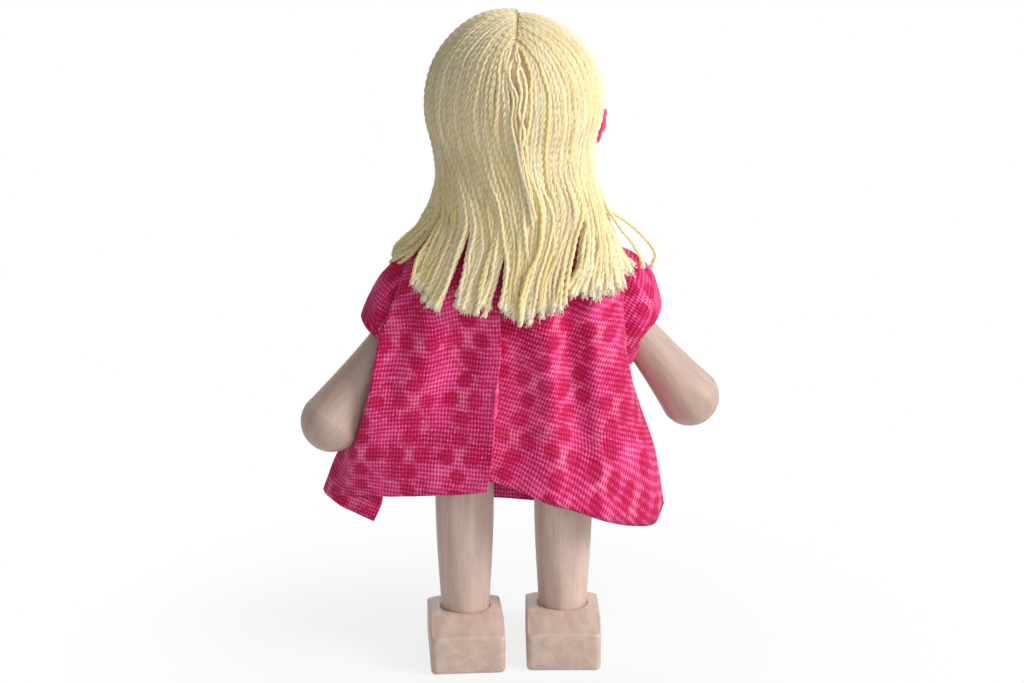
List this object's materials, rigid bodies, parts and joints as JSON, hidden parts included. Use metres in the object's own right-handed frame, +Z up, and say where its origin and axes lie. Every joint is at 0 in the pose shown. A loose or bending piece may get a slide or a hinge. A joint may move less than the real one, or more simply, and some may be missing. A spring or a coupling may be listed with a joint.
{
  "type": "wooden peg doll",
  "caption": "Standing wooden doll with a ball head, yarn hair, a felt flower, swinging drop-shaped arms, folding legs and a short-sleeved A-line dress.",
  "frame": {"origin": "on the floor midway between the feet, under the middle of the doll", "axes": "+Z up, the doll faces -Y, its left side is +X"},
  "size_m": [0.0642, 0.0264, 0.1003],
  "materials": {
    "torso_wood": "plain sanded beech",
    "dowel_wood": "plain dowel",
    "head_wood": "smooth turned beech with painted features",
    "limb_wood": "fine-sanded turned beech",
    "foot_wood": "sanded beech with slightly rounded edges",
    "hair_yarn": "twisted matt cotton yarn",
    "seam_thread": "stitched thread",
    "petal_felt": "felt",
    "centre_felt": "felt",
    "dress_cotton": "open plain-weave cotton with a dotted print"
  },
  "bodies": {
    "torso": {"torso": "torso_wood", "neck_peg": "dowel_wood", "shoulder_dowel": "dowel_wood", "dress_front": "dress_cotton", "dress_back": "dress_cotton", "left_sleeve": "dress_cotton", "right_sleeve": "dress_cotton"},
    "head": {"head": "head_wood", "hair_crown_left": "hair_yarn", "hair_crown_right": "hair_yarn", "hair_fall_left": "hair_yarn", "hair_fall_right": "hair_yarn", "hair_seam": "seam_thread", "flower_petals": "petal_felt", "flower_centre": "centre_felt"},
    "left_arm": {"left_arm": "limb_wood"},
    "right_arm": {"right_arm": "limb_wood"},
    "hips": {"hip_dowel": "dowel_wood"},
    "left_leg": {"left_leg": "limb_wood", "left_foot": "foot_wood"},
    "right_leg": {"right_leg": "limb_wood", "right_foot": "foot_wood"}
  },
  "joints": [
    {"name": "neck_turn", "type": "hinge", "parent": "torso", "child": "head", "pos_m": [0, 0, 0.0744], "axis": [0, 0, 1], "range_deg": [-75, 75], "deforming": ["hair_fall_left", "hair_fall_right"]},
    {"name": "left_shoulder", "type": "hinge", "parent": "torso", "child": "left_arm", "pos_m": [0.015, 0, 0.056], "axis": [-1, 0, 0], "range_deg": [-6, 120], "deforming": ["left_sleeve"]},
    {"name": "right_shoulder", "type": "hinge", "parent": "torso", "child": "right_arm", "pos_m": [-0.015, 0, 0.056], "axis": [-1, 0, 0], "range_deg": [-55, 90], "deforming": ["right_sleeve"]},
    {"name": "sit", "type": "hinge", "parent": "torso", "child": "hips", "pos_m": [0, 0, 0.038], "axis": [-1, 0, 0], "range_deg": [-12, 90], "deforming": ["dress_front", "dress_back"]},
    {"name": "left_hip", "type": "hinge", "parent": "hips", "child": "left_leg", "pos_m": [0.0076, 0, 0.038], "axis": [-1, 0, 0], "range_deg": [-15, 15]},
    {"name": "right_hip", "type": "hinge", "parent": "hips", "child": "right_leg", "pos_m": [-0.0076, 0, 0.038], "axis": [-1, 0, 0], "range_deg": [-15, 15]}
  ]
}
